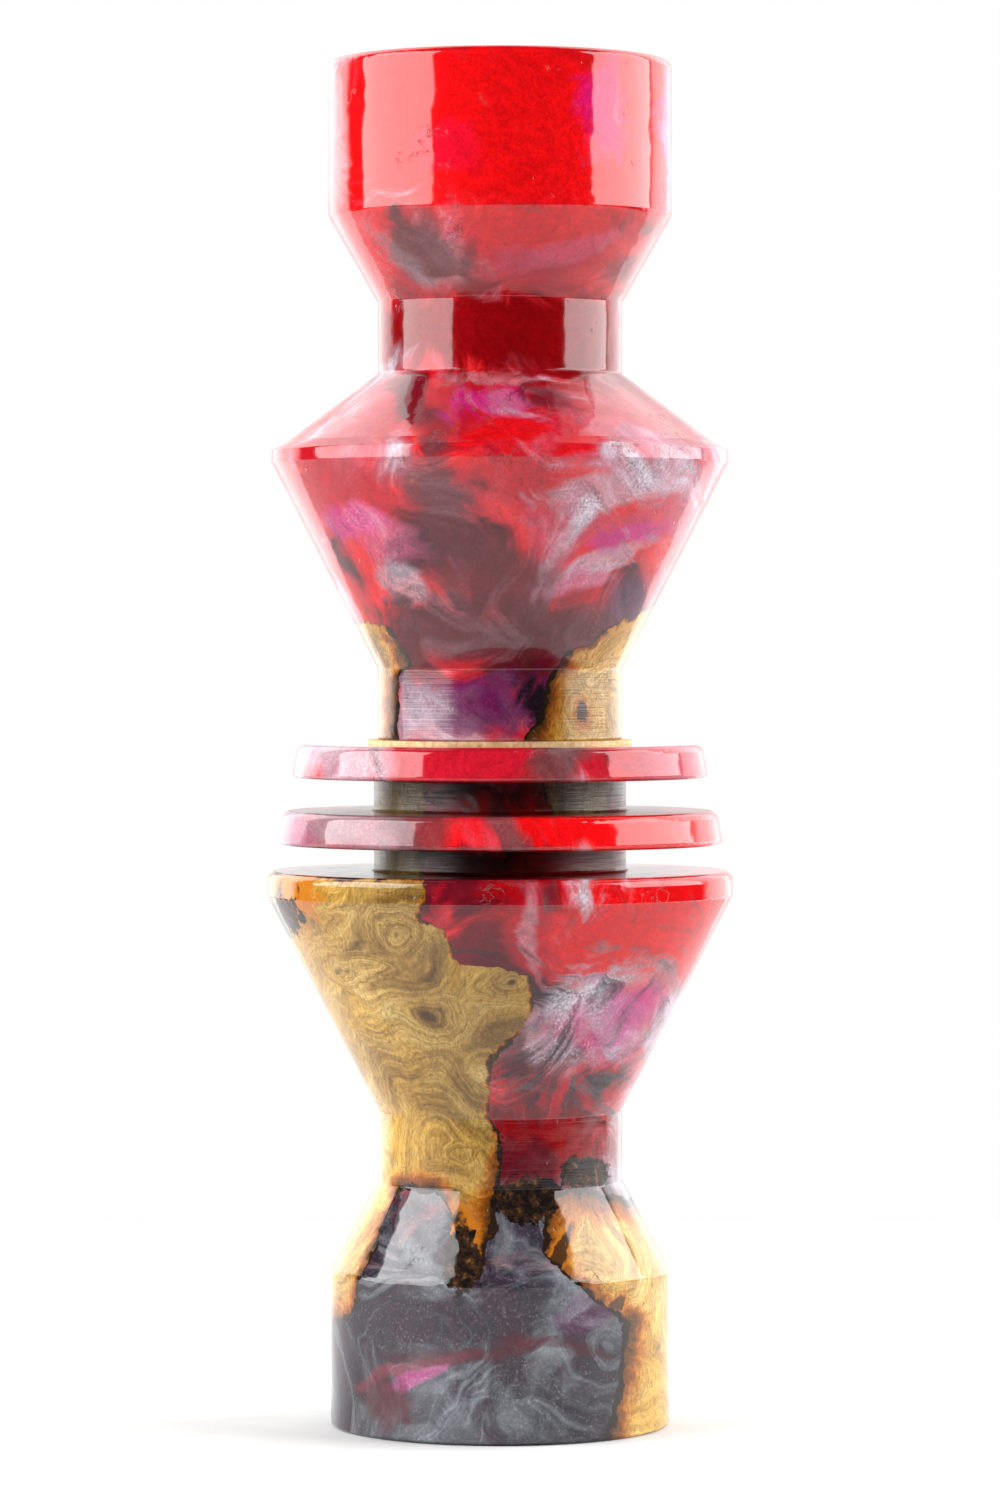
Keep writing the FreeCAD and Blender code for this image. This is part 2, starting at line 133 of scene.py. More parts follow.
INSERT_PATCHES = [
    ("crimson", 0.00, 0.990, 1.60, 0.070, 0, 1.0),
    ("pearl", -0.66, 0.978, 0.24, 0.050, 0, 0.65),
    ("smoke", 0.26, 0.980, 0.17, 0.060, -30, 1.0),
    ("rose", 0.72, 0.979, 0.20, 0.050, 0, 0.8),
    ("maroon", 0.00, 0.925, 0.60, 0.020, 0, 1.0),
    ("bright", 0.45, 0.878, 0.80, 0.062, 0, 1.0),
    ("ash", -0.66, 0.878, 0.36, 0.055, 0, 0.75),
    ("magenta", -0.86, 0.878, 0.10, 0.050, 0, 0.25),
    ("smoke", -0.32, 0.878, 0.12, 0.055, 0, 0.8),
    ("smoke", 0.02, 0.878, 0.06, 0.060, 30, 0.9),
    ("maroon", 0.00, 0.834, 0.60, 0.020, 0, 1.0),
    ("bright", 0.62, 0.780, 0.62, 0.090, 0, 1.0),
    ("deep", 0.02, 0.800, 0.26, 0.040, 0, 0.8),
    ("maroon", -0.14, 0.803, 0.16, 0.030, 0, 0.9),
    ("bright", 0.60, 0.715, 0.50, 0.075, 0, 1.0),
    ("maroon", -0.06, 0.732, 0.22, 0.064, 0, 0.9),
    ("crimson", 0.14, 0.735, 0.10, 0.070, 10, 0.7),
    ("pearl", 0.13, 0.740, 0.035, 0.065, 8, 0.32),
    ("silver", 0.40, 0.640, 0.30, 0.052, 18, 0.85),
    ("bright", 0.62, 0.640, 0.20, 0.030, 30, 0.5),
    ("magenta", 0.52, 0.600, 0.20, 0.040, 40, 0.75),
    ("pink", 0.36, 0.585, 0.14, 0.060, 40, 0.7),
    ("silver", 0.24, 0.550, 0.16, 0.036, -30, 0.7),
    ("crimson", 0.40, 0.505, 0.26, 0.034, 0, 0.9),
    ("dusk", 0.08, 0.565, 0.08, 0.100, 10, 0.8),
    ("dusk", 0.10, 0.500, 0.14, 0.030, 0, 0.6),
    ("storm", 0.00, 0.000, 4.00, 0.560, 0, 1.0),
    ("deep", 0.26, 0.420, 0.42, 0.062, 0, 1.0),
    ("maroon", 0.10, 0.405, 0.20, 0.040, 0, 0.9),
    ("rose", -0.42, 0.098, 0.28, 0.010, 22, 0.26),
    ("maroon", -0.10, 0.134, 0.34, 0.012, 8, 0.55),
    ("maroon", 0.24, 0.140, 0.26, 0.012, -14, 0.50),
    ("magenta", -0.37, 0.090, 0.14, 0.008, 30, 0.50),
    ("violet", 0.37, 0.190, 0.12, 0.050, -60, 0.35),
    ("maroon", -0.50, 0.060, 0.10, 0.030, 0, 0.7),
]

# --- Live edges of the burl slabs ------------------------------------------------------------------
# A side edge is a list of (up, across) and a lower or upper edge a list of (across, up), in the same
# shares of the piece as the patches.
INSERT_LEFT_SIDE = [
    (0.16, -0.05), (0.235, -0.073), (0.270, -0.055), (0.290, -0.045), (0.315, -0.006), (0.345, -0.014),
    (0.381, 0.0), (0.419, 0.004), (0.452, -0.018), (0.480, -0.050), (0.520, -0.050), (0.545, -0.032),
    (0.584, 0.063), (0.617, 0.122), (0.643, 0.136), (0.671, 0.142), (0.681, 0.100), (0.688, 0.060),
    (0.6915, -0.130), (0.700, -0.175), (0.720, -0.195), (0.745, -0.245), (0.762, -0.323),
    (0.792, -0.300), (0.84, -0.310),
]
INSERT_LEFT_FOOT = [
    (-1.1, 0.145), (-0.74, 0.148), (-0.65, 0.165), (-0.59, 0.222), (-0.50, 0.290), (-0.41, 0.350),
    (-0.30, 0.352), (-0.21, 0.330), (-0.192, 0.250), (-0.18, 0.236), (0.2, 0.236),
]
INSERT_RIGHT_SIDE = [
    (-0.05, 0.435), (0.01, 0.440), (0.063, 0.482), (0.118, 0.505), (0.167, 0.515), (0.183, 0.48),
    (0.205, 0.400), (0.220, 0.350), (0.257, 0.228), (0.290, 0.175), (0.317, 0.187), (0.358, 0.232),
    (0.40, 0.30),
]
INSERT_RIGHT_HEAD = [(0.0, 0.350), (0.23, 0.360), (0.40, 0.353), (0.56, 0.338), (1.1, 0.330)]
BARREL_LEFT_SIDE = [
    (-0.05, -0.437), (0.065, -0.437), (0.095, -0.425), (0.105, -0.385), (0.118, -0.390),
    (0.146, -0.440), (0.166, -0.480), (0.172, -0.60), (0.184, -0.70), (0.20, -1.1),
]
BARREL_RIGHT_SIDE = [
    (-0.05, 0.095), (0.006, 0.103), (0.050, 0.173), (0.086, 0.197), (0.108, 0.253), (0.127, 0.277),
    (0.140, 0.366), (0.160, 0.451), (0.187, 0.606), (0.205, 0.72), (0.22, 1.1),
]

# --- Features of the burl and the turning, in the same shares --------------------------------------
# Eyes are (across, up, radius in millimetres), stains (across, up, half width, half height, strength)
# and bits of bark (across, up, half width, half height). Bands that were left as they came off the
# tool and that get painted shade are (low, high, dullness and painted shade). Rims are the heights
# between which the stained rim gets thinner and the painted light on the wood's lower end fades.
BARREL_EYES = [(0.44, 0.030, 1.1), (0.50, 0.09, 0.6)]
BARREL_STAINS = [(0.43, 0.030, 0.06, 0.030, 0.9)]
BARREL_BANDS = [(0.0, 0.104, 0.35), (0.540, 0.645, 0.06)]
BARREL_RIM_AND_LIGHT_HEIGHTS = (0.0, 0.30)
INSERT_EYES = [
    (-0.48, 0.767, 0.9), (-0.565, 0.70, 0.5), (-0.61, 0.68, 0.6), (-0.33, 0.614, 1.6), (0.05, 0.672, 0.9),
    (-0.74, 0.79, 0.6), (-0.16, 0.43, 0.5),
]
INSERT_STAINS = [
    (-0.83, 0.770, 0.17, 0.050, 1.0), (-0.14, 0.292, 0.085, 0.055, 1.0), (-0.10, 0.25, 0.08, 0.02, 1.0),
    (0.245, 0.265, 0.040, 0.05, 0.9), (0.50, 0.20, 0.03, 0.02, 0.8),
]
INSERT_BARK_BITS = [
    (-0.88, 0.757, 0.10, 0.040), (0.118, 0.350, 0.14, 0.033), (0.360, 0.380, 0.115, 0.025),
    (-0.155, 0.262, 0.085, 0.042),
]
INSERT_BANDS = [(0.359, 0.463, 0.12), (0.8145, 0.853, 1.0), (0.902, 0.951, 1.0)]
INSERT_RIM_AND_LIGHT_HEIGHTS = (0.33, 0.50)


class Graph:
    """An emptied node tree, with short ways to add nodes and join them."""

    def __init__(self, tree):
        self.tree = tree
        self.tree.nodes.clear()

    def add(self, kind, inputs=(), **settings):
        """A node with its settings and its inputs, which are sockets or plain values."""
        node = self.tree.nodes.new("ShaderNode" + kind)
        for key, value in settings.items():
            setattr(node, key, value)
        pairs = inputs.items() if isinstance(inputs, dict) else enumerate(inputs)
        for key, value in pairs:
            if isinstance(value, bpy.types.NodeSocket):
                self.tree.links.new(value, node.inputs[key])
            elif value is not None:
                node.inputs[key].default_value = value
        return node

    def math(self, operation, *values, clamp=False):
        return self.add("Math", values, operation=operation, use_clamp=clamp).outputs[0]

    def vector(self, operation, *values):
        node = self.add("VectorMath", values, operation=operation)
        return node.outputs["Value" if operation == "LENGTH" else "Vector"]

    def scaled(self, vector, factor):
        node = self.add("VectorMath", {"Vector": vector, "Scale": factor}, operation="SCALE")
        return node.outputs["Vector"]

    def noise(self, vector, scale, detail=2.0, roughness=0.5, distortion=0.0, output="Fac"):
        inputs = {"Vector": vector, "Scale": scale, "Detail": detail, "Roughness": roughness,
                  "Distortion": distortion}
        return self.add("TexNoise", inputs).outputs[output]

    def wobble(self, vector, scale, amount, detail=2.0):
        """A random push of up to about half the amount in every direction."""
        colour = self.noise(vector, scale, detail, output="Color")
        centred = self.vector("SUBTRACT", colour, (0.5, 0.5, 0.5))
        return self.scaled(centred, amount)

    def smooth(self, value, low, high, to_low=0.0, to_high=1.0):
        inputs = {"Value": value, "From Min": low, "From Max": high, "To Min": to_low, "To Max": to_high}
        return self.add("MapRange", inputs, interpolation_type="SMOOTHSTEP").outputs["Result"]

    def mix(self, factor, first, second, blend="MIX"):
        node = self.add("Mix", data_type="RGBA", blend_type=blend, clamp_factor=True)
        for index, value in zip((0, 6, 7), (factor, first, second)):
            if isinstance(value, bpy.types.NodeSocket):
                self.tree.links.new(value, node.inputs[index])
            else:
                node.inputs[index].default_value = (*value, 1.0) if index else value
        return node.outputs[2]

    def ramp(self, factor, stops):
        node = self.add("ValToRGB", [factor])
        elements = node.color_ramp.elements
        for index, (place, colour) in enumerate(stops):
            element = elements[index] if index < 2 else elements.new(place)
            element.position = place
            element.color = (*colour, 1.0)
        return node.outputs["Color"]

    def curve(self, value, points):
        """A smooth function through (input, output) points, in any range."""
        places = [point[0] for point in points]
        heights = [point[1] for point in points]
        low, high = min(places), max(places)
        floor, ceiling = min(heights), max(heights)
        share = self.add("MapRange", {"Value": value, "From Min": low, "From Max": high}).outputs[0]
        node = self.add("FloatCurve", {"Value": share})
        line = node.mapping.curves[0]
        while len(line.points) < len(points):
            line.points.new(0.5, 0.5)
        for spot, (place, height) in zip(line.points, points):
            spot.location = ((place - low) / (high - low), (height - floor) / (ceiling - floor))
            spot.handle_type = "AUTO_CLAMPED"
        node.mapping.update()
        inputs = {"Value": node.outputs[0], "To Min": floor, "To Max": ceiling}
        return self.add("MapRange", inputs).outputs[0]

    def axes(self, vector):
        return self.add("SeparateXYZ", [vector]).outputs[:3]

    def shaded(self, colour, amount):
        grey = self.add("CombineXYZ", [amount, amount, amount]).outputs[0]
        return self.mix(1.0, colour, grey, "MULTIPLY")

    def least(self, first, *others):
        for other in others:
            first = self.math("MINIMUM", first, other)
        return first

    def ellipsoid(self, vector, centre, reach, tilt=0.0):
        """Distance from the centre of an ellipsoid, 1 on its skin. The tilt is in degrees about Y."""
        turn = (0, -math.radians(tilt), 0)
        inputs = {"Vector": vector, "Location": centre, "Rotation": turn, "Scale": reach}
        return self.vector("LENGTH", self.add("Mapping", inputs, vector_type="TEXTURE").outputs[0])


class MaterialGraph(Graph):
    """The graph of a new material, which ends in one principled shader."""

    def __init__(self, name):
        self.material = bpy.data.materials.new(name)
        self.material.use_nodes = True
        super().__init__(self.material.node_tree)
        self.output = self.add("OutputMaterial")

    def place(self):
        """The point in millimetres, in the row frame at rest. It moves with the piece."""
        return self.scaled(self.add("TexCoord").outputs["Object"], 1 / MM)

    def surface(self, colour, roughness, normal=None, **uniform):
        """The finished material. Values that are the same all over go on the shader's own sockets."""
        shader = self.add("BsdfPrincipled", {"Base Color": colour, "Roughness": roughness})
        if normal is not None:
            self.tree.links.new(normal, shader.inputs["Normal"])
        for key, value in uniform.items():
            shader.inputs[key].default_value = value
        self.tree.links.new(shader.outputs[0], self.output.inputs["Surface"])
        return self.material

    def bump(self, height, strength, distance):
        inputs = {"Strength": strength, "Distance": distance, "Height": height}
        return self.add("Bump", inputs).outputs[0]


class Piece:
    """The measures of a turned piece: its half width, its lower end and its height, in millimetres."""

    def __init__(self, node):
        low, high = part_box(node)
        self.half_width = max(high.x, -low.x) / MM
        self.bottom = low.z / MM
        self.height = (high.z - low.z) / MM

    def up(self, share):
        return self.bottom + share * self.height

    def behind_skin(self, across, up, share):
        """A point in front of the axis, a share of the half width away from it."""
        x = across * self.half_width
        depth = share * self.half_width
        return (x, -math.sqrt(max(depth * depth - x * x, 0.0)), self.up(up))

    def sides(self, points):
        return [(self.up(up), across * self.half_width) for up, across in points]

    def ends(self, points):
        return [(across * self.half_width, self.up(up)) for across, up in points]


# --- Resin -----------------------------------------------------------------------------------------
# Swirls are given by their scale per millimetre, their push in millimetres and their detail.
SLOW_SWIRL = (0.050, 20.0, 1.0)
QUICK_SWIRL = (0.13, 7.0, 2.0)
PATCH_DRIFT = (0.09, 5.0, 1.0)
PATCH_FRAY = (0.20, 3.0, 3.0)
BROAD_SPACING = 4.0            # of the sheets of mica, in millimetres
SILK_SPACING = 1.2             # of the threads of mica
SILK_SEED = 40.0               # keeps the threads apart from the sheets
LEVEL_RISE = 32.0              # how far the height of the flow rises over its whole range
PATCH_DEPTH = 0.75             # of a patch's middle, in half widths from the axis
GAP_SHARE = 0.85               # how much of the colour the dark gaps, the sheets and the threads take
SHEET_SHARE = 0.60
THREAD_SHARE = 0.55
FLAKE_SCALE = 3.6
FLAKE_LEVEL = 0.74             # the grain's height above which a flake shows
FLAKE_SPREAD = 0.30            # how far all the mica there can be lowers that height
FLAKE_COLOURS = ((0.80, 0.10, 0.42), (0.86, 0.74, 0.84))


def stir(graph, point):
    """The point carried along by the slow and the quick swirls of the pour."""
    stirred = graph.vector("ADD", point, graph.wobble(point, *SLOW_SWIRL))
    return graph.vector("ADD", stirred, graph.wobble(stirred, *QUICK_SWIRL))


def flow_lines(graph, stirred, spacing, seed):
    """Long parallel streaks that follow the swirls, about one spacing apart."""
    offset = graph.vector("ADD", stirred, (seed, 0.0, 0.0))
    level = graph.math("MULTIPLY", graph.noise(offset, 0.045, 1.0, 0.4), LEVEL_RISE / spacing)
    x, y, z = graph.axes(offset)
    drift = graph.math("MULTIPLY_ADD", x, 0.09, graph.math("MULTIPLY", z, 0.07))
    across = graph.add("CombineXYZ", [level, drift, graph.math("MULTIPLY", y, 0.06)]).outputs[0]
    return graph.noise(across, 1.0, 4.0, 0.62)


def marbled(graph, point, patches, piece):
    """The colour of swirled resin, its patches painted one over the other, and how much mica shows."""
    stirred = stir(graph, point)
    broad = flow_lines(graph, stirred, BROAD_SPACING, 0.0)
    silk = flow_lines(graph, stirred, SILK_SPACING, SILK_SEED)
    slow = graph.noise(stirred, 0.06, 2.0)
    base = graph.math("MULTIPLY_ADD", slow, 0.6, graph.math("MULTIPLY", broad, 0.4))
    colour = graph.ramp(base, RESIN_STOPS)
    mica = graph.smooth(base, RESIN_STOPS[-3][0], RESIN_STOPS[-1][0], 0.06, 0.8)

    # The patches drift with a gentler stir of the same kind, so their edges curl but stay in place.
    drift = graph.vector("ADD", graph.wobble(point, *PATCH_DRIFT), graph.wobble(stirred, *PATCH_FRAY))
    nearby = graph.vector("ADD", point, drift)
    rough = graph.math("MULTIPLY_ADD", graph.noise(stirred, 0.22, 4.0, 0.6), 1.2, -0.6)
    fray = graph.math("ADD", graph.math("MULTIPLY_ADD", silk, 2.0, -1.0), rough)
    depth = PATCH_DEPTH * piece.half_width
    for name, across, up, half_width, half_height, tilt, strength in patches:
        centre = piece.behind_skin(across, up, PATCH_DEPTH)
        depth_reach = max(1.0, half_width) ** 2 * depth
        reach = (half_width * piece.half_width, depth_reach, half_height * piece.height)
        radius = graph.ellipsoid(nearby, centre, reach, tilt)
        far = graph.math("MULTIPLY_ADD", fray, graph.smooth(radius, 0.25, 0.95, 0.35, 1.0), radius)
        mask = graph.smooth(far, 1.25, 0.50, 0.0, strength)
        colour = graph.mix(mask, colour, COLOURS[name])
        mica = graph.add("Mix", {0: mask, 2: mica, 3: MICA.get(name, 0.0)}, data_type="FLOAT").outputs[0]
    return colour, mica, stirred, broad, silk


def shimmering(graph, colour, point, mica, stirred, broad, silk, shadow, light):
    """Mica that lines up with the flow: dark gaps, pale threads and a mist of fine flakes."""
    gap = graph.math("MULTIPLY", graph.smooth(silk, 0.50, 0.34), mica)
    colour = graph.mix(graph.math("MULTIPLY", gap, GAP_SHARE), colour, shadow)
    sheet = graph.math("MULTIPLY", graph.smooth(broad, 0.44, 0.68), mica)
    colour = graph.mix(graph.math("MULTIPLY", sheet, SHEET_SHARE), colour, light)
    thread = graph.math("MULTIPLY", graph.smooth(silk, 0.50, 0.68), mica)
    colour = graph.mix(graph.math("MULTIPLY", thread, THREAD_SHARE), colour, light)

    # Each flake is a grain of noise. More of them pass the threshold where there is more mica.
    hue = graph.smooth(graph.noise(stirred, 0.16, 2.0), 0.40, 0.60)
    flake_colour = graph.mix(hue, *FLAKE_COLOURS)
    grain = graph.noise(point, FLAKE_SCALE, 3.0, 0.80)
    clumps = graph.math("MULTIPLY_ADD", graph.noise(stirred, 0.7, 3.0, 0.6), 0.5, -0.25)
    amount = graph.math("MULTIPLY", graph.math("ADD", mica, clumps), FLAKE_SPREAD)
    excess = graph.math("SUBTRACT", graph.math("ADD", grain, amount), FLAKE_LEVEL)
    mist = graph.math("MULTIPLY", graph.smooth(excess, -0.06, 0.06), graph.math("POWER", mica, 2.6))
    colour = graph.mix(mist, colour, flake_colour)
    cloud = graph.smooth(graph.noise(stirred, 0.9, 4.0, 0.7), 0.3, 0.7, 0.82, 1.10)
    soft_grain = graph.smooth(grain, 0.3, 0.7, 0.80, 1.14)
    return graph.shaded(colour, graph.math("MULTIPLY", cloud, soft_grain))


# --- Burl ------------------------------------------------------------------------------------------
BURL_STOPS = [
    (0.32, (0.100, 0.044, 0.010)), (0.42, (0.23, 0.125, 0.030)), (0.51, (0.36, 0.215, 0.055)),
    (0.59, (0.46, 0.305, 0.100)), (0.70, (0.56, 0.415, 0.175)),
]
GOLDEN = (0.46, 0.250, 0.030)
KNOT_COLOUR = (0.035, 0.014, 0.006)
TAN_STAIN = (0.38, 0.12, 0.010)
BLACK_STAIN = (0.020, 0.011, 0.006)
BARK_LINE_COLOUR = (0.016, 0.008, 0.005)
RIM_STOPS = [
    (0.00, (0.020, 0.008, 0.004)), (0.16, (0.070, 0.018, 0.003)), (0.36, (0.22, 0.052, 0.004)),
    (0.64, (0.43, 0.130, 0.008)), (0.90, (0.60, 0.290, 0.020)),
]
BARK_STOPS = [(0.42, (0.006, 0.004, 0.004)), (0.56, (0.035, 0.016, 0.008)), (0.70, (0.24, 0.10, 0.025))]
SLOW_WARP = (0.085, 8.0, 1.0)  # of the figure, given as the swirls of the resin are
QUICK_WARP = (0.35, 1.6, 3.0)
EYE_DEPTH = 0.72               # of an eye's middle, in half widths from the axis
STAIN_DEPTH = 0.75
STAIN_REACH = 14.0             # of a stain from front to back, in millimetres
BARK_DEPTH = 0.62
BARK_REACH = 12.0


def burl(graph, point, piece, eyes, stains, inside, rim_and_light_heights):
    """The colour of figured burl. inside is how far a point is inside its slab, in millimetres."""
    swirl = graph.vector("ADD", point, graph.wobble(point, *SLOW_WARP))
    swirl = graph.vector("ADD", swirl, graph.wobble(swirl, *QUICK_WARP))
    x, y, z = graph.axes(swirl)

    # The growth rings are level lines of a smooth field, which every eye raises round itself.
    growth = graph.math("MULTIPLY_ADD", graph.noise(swirl, 0.050, 1.0), 30.0, graph.math("MULTIPLY", x, 0.40))
    knot = 0.0
    for across, up, radius in eyes:
        away = graph.vector("SUBTRACT", swirl, piece.behind_skin(across, up, EYE_DEPTH))
        distance = graph.vector("LENGTH", graph.vector("MULTIPLY", away, (1.0, 0.08, 1.45)))
        growth = graph.math("ADD", growth, graph.smooth(distance, radius * 4.5, 0.0, 0.0, 5.0))
        knot = graph.math("MAXIMUM", knot, graph.smooth(distance, radius, radius * 0.35))
    drift = [graph.math("MULTIPLY", y, 0.10), graph.math("MULTIPLY", z, 0.10)]
    rings = graph.add("CombineXYZ", [growth, *drift]).outputs[0]
    bands = graph.noise(rings, 0.60, 3.0, 0.66)
    fine = graph.noise(rings, 3.0, 4.0, 0.80)
    cloud = graph.noise(swirl, 0.14, 3.0, 0.6)
    tone = graph.math("ADD", graph.math("MULTIPLY", bands, 0.65), graph.math("MULTIPLY", cloud, 0.35))
    colour = graph.ramp(tone, BURL_STOPS)
    golden = graph.smooth(graph.noise(swirl, 0.075, 2.0), 0.46, 0.64, 0.0, 0.6)
    colour = graph.mix(golden, colour, GOLDEN)

    # The painted light that makes the wood lighter towards its lower end, the stained rim, and the pores and
    # fibres over it.
    rim_and_light_low, rim_and_light_high = rim_and_light_heights
    # Painted light: the wood's colour is made up to 1.22 times lighter towards its lower end.
    colour = graph.shaded(colour, graph.smooth(z, piece.up(rim_and_light_high), piece.up(rim_and_light_low), 1.0, 1.22))
    rim, rim_colour = resin_stain(graph, point, inside, z, piece, rim_and_light_heights)
    colour = graph.mix(rim, colour, rim_colour)
    colour = graph.shaded(colour, graph.smooth(fine, 0.30, 0.70, 0.60, 1.22))
    grain = graph.noise(graph.vector("MULTIPLY", swirl, (4.0, 4.0, 1.4)), 1.0, 3.0, 0.75)
    colour = graph.shaded(colour, graph.smooth(grain, 0.32, 0.62, 0.64, 1.12))
    colour = graph.mix(graph.math("MULTIPLY", knot, 0.85), colour, KNOT_COLOUR)
    for across, up, half_width, half_height, strength in stains:
        centre = piece.behind_skin(across, up, STAIN_DEPTH)
        reach = (half_width * piece.half_width, STAIN_REACH, half_height * piece.height)
        near = graph.math("SUBTRACT", graph.ellipsoid(swirl, centre, reach), 0.8)
        far = graph.math("MULTIPLY_ADD", graph.noise(point, 0.55, 4.0, 0.65), 1.6, near)
        colour = graph.mix(graph.smooth(far, 1.3, 0.8, 0.0, strength), colour, TAN_STAIN)
        colour = graph.mix(graph.smooth(far, 0.80, 0.55, 0.0, strength), colour, BLACK_STAIN)
    return colour


def resin_stain(graph, point, inside, z, piece, rim_and_light_heights):
    """Where the resin has stained the wood along its live edge, and the colours of the stain."""
    rim_and_light_low, rim_and_light_high = rim_and_light_heights
    heavy = graph.smooth(z, piece.up(rim_and_light_high), piece.up(rim_and_light_low))
    patchy = graph.noise(point, 0.24, 4.0, 0.65)
    depth = graph.math("MULTIPLY_ADD", patchy, -3.4, graph.math("ADD", inside, 1.7))
    reach = graph.math("MULTIPLY_ADD", heavy, 2.4, 0.5)
    share = graph.math("DIVIDE", depth, reach)
    mask = graph.smooth(share, 1.15, 0.45, 0.0, 0.92)
    return mask, graph.ramp(graph.math("MULTIPLY", share, 0.8), RIM_STOPS)


def bark_line(graph, point, inside, piece, rim_and_light_heights):
    """The thin black line of bark on the live edge itself."""
    rim_and_light_low, rim_and_light_high = rim_and_light_heights
    heavy = graph.smooth(graph.axes(point)[2], piece.up(rim_and_light_high), piece.up(rim_and_light_low))
    width = graph.math("MULTIPLY_ADD", graph.noise(point, 0.42, 4.0, 0.65), 2.4,
                       graph.math("MULTIPLY_ADD", heavy, 0.6, -1.25))
    return graph.smooth(graph.math("SUBTRACT", inside, width), 0.15, -0.15)


def with_bark(graph, colour, point, piece, bits):
    """The colour with bits of crumbling bark over it."""
    crumble = graph.noise(point, 0.9, 5.0, 0.7)
    bark_colour = graph.ramp(crumble, BARK_STOPS)
    for across, up, half_width, half_height in bits:
        centre = piece.behind_skin(across, up, BARK_DEPTH)
        reach = (half_width * piece.half_width, BARK_REACH, half_height * piece.height)
        near = graph.math("SUBTRACT", graph.ellipsoid(ragged_point(graph, point), centre, reach), 0.6)
        far = graph.math("MULTIPLY_ADD", crumble, 1.2, near)
        colour = graph.mix(graph.smooth(far, 1.05, 0.95), colour, bark_colour)
    return colour


# --- Live edges ------------------------------------------------------------------------------------
COARSE_STEPS = (0.45, 1.5, 3.0)  # of a ragged edge, given as the swirls of the resin are
FINE_STEPS = (1.6, 0.55, 3.0)
INSERT_BURL_TOP = 0.8145       # the large slab stops under the flange
CORE_ACROSS = -0.312           # right edge of the slab's core, which shows in the grooves' necks
CORE_LEFT = 13.5               # how far the core reaches left of the axis, in millimetres
CORE_HEIGHTS = (0.80, 0.97)
CORE_DEPTH = 12.8              # of the core and the upper bit, before and behind the axis, in millimetres
UPPER_HEIGHTS = (0.89, 0.965)
UPPER_LINE = (-0.35, 24.8)     # the upper bit's left edge: its slope and its place, in millimetres
UPPER_RIGHT = 10.3             # the upper bit's right edge, in millimetres
BARREL_BURL_TOP = 0.205


def ragged_point(graph, point):
    """The point moved by the small random steps of a live edge."""
    coarse = graph.wobble(point, *COARSE_STEPS)
    fine = graph.wobble(point, *FINE_STEPS)
    return graph.vector("ADD", point, graph.vector("ADD", coarse, fine))


def inside_insert_burl(graph, point, piece):
    """How far a point is inside the insert's burl, in millimetres. Less than nothing is resin."""
    x, y, z = graph.axes(ragged_point(graph, point))
    left_of_side = graph.math("SUBTRACT", graph.curve(z, piece.sides(INSERT_LEFT_SIDE)), x)
    above_foot = graph.math("SUBTRACT", z, graph.curve(x, piece.ends(INSERT_LEFT_FOOT)))
    under_flange = graph.math("SUBTRACT", piece.up(INSERT_BURL_TOP), graph.axes(point)[2])
    left = graph.least(left_of_side, above_foot, under_flange)
    right_of_side = graph.math("SUBTRACT", x, graph.curve(z, piece.sides(INSERT_RIGHT_SIDE)))
    below_head = graph.math("SUBTRACT", graph.curve(x, piece.ends(INSERT_RIGHT_HEAD)), z)
    right = graph.math("MINIMUM", right_of_side, below_head)
    near_axis = graph.math("SUBTRACT", CORE_DEPTH, graph.math("ABSOLUTE", y))
    core = graph.least(
        graph.math("SUBTRACT", CORE_ACROSS * piece.half_width, x),
        near_axis,
        graph.math("SUBTRACT", z, piece.up(CORE_HEIGHTS[0])),
        graph.math("SUBTRACT", piece.up(CORE_HEIGHTS[1]), z),
        graph.math("ADD", x, CORE_LEFT),
    )
    upper = graph.least(
        graph.math("SUBTRACT", x, graph.math("MULTIPLY_ADD", z, *UPPER_LINE)),
        near_axis,
        graph.math("SUBTRACT", UPPER_RIGHT, x),
        graph.math("SUBTRACT", z, piece.up(UPPER_HEIGHTS[0])),
        graph.math("SUBTRACT", piece.up(UPPER_HEIGHTS[1]), z),
    )
    slabs = graph.math("MAXIMUM", left, right)
    return graph.math("MAXIMUM", slabs, graph.math("MAXIMUM", core, upper))


def inside_barrel_burl(graph, point, piece):
    """How far a point is inside the barrel's burl, in millimetres. Less than nothing is resin."""
    x, y, z = graph.axes(ragged_point(graph, point))
    left = graph.math("SUBTRACT", graph.curve(z, piece.sides(BARREL_LEFT_SIDE)), x)
    right = graph.math("SUBTRACT", x, graph.curve(z, piece.sides(BARREL_RIGHT_SIDE)))
    low = graph.math("SUBTRACT", piece.up(BARREL_BURL_TOP), z)
    return graph.math("MINIMUM", graph.math("MAXIMUM", left, right), low)


# --- The two cast and turned pieces ----------------------------------------------------------------
BAND_PAINTED_SHADE = -0.62             # painted shade: how far a less polished band darkens, most of all in the grooves
EDGE_SHADE = 0.62              # of the resin where it turns away from the camera
CRACK_COLOUR = (0.03, 0.004, 0.006)
POLISH = 0.05                  # roughness of the lacquer
LACQUER_INDEX = 1.5


def tool_lines(graph, point, piece, bands):
    """Height of the tool's fine rings, and a mask of where the piece is less polished and gets painted shade.
    """
    x, y, z = graph.axes(point)
    along = graph.add("CombineXYZ", [graph.math("MULTIPLY", x, 0.05), graph.math("MULTIPLY", y, 0.05),
                                     graph.math("MULTIPLY", z, 5.0)]).outputs[0]
    rings = graph.noise(along, 1.0, 3.0, 0.7)
    mask = 0.0
    for low, high, strength in bands:
        rising = graph.smooth(z, piece.up(low) - 0.1, piece.up(low) + 0.1)
        falling = graph.smooth(z, piece.up(high) + 0.1, piece.up(high) - 0.1, 0.0, strength)
        mask = graph.math("MAXIMUM", mask, graph.math("MULTIPLY", rising, falling))
    return rings, mask


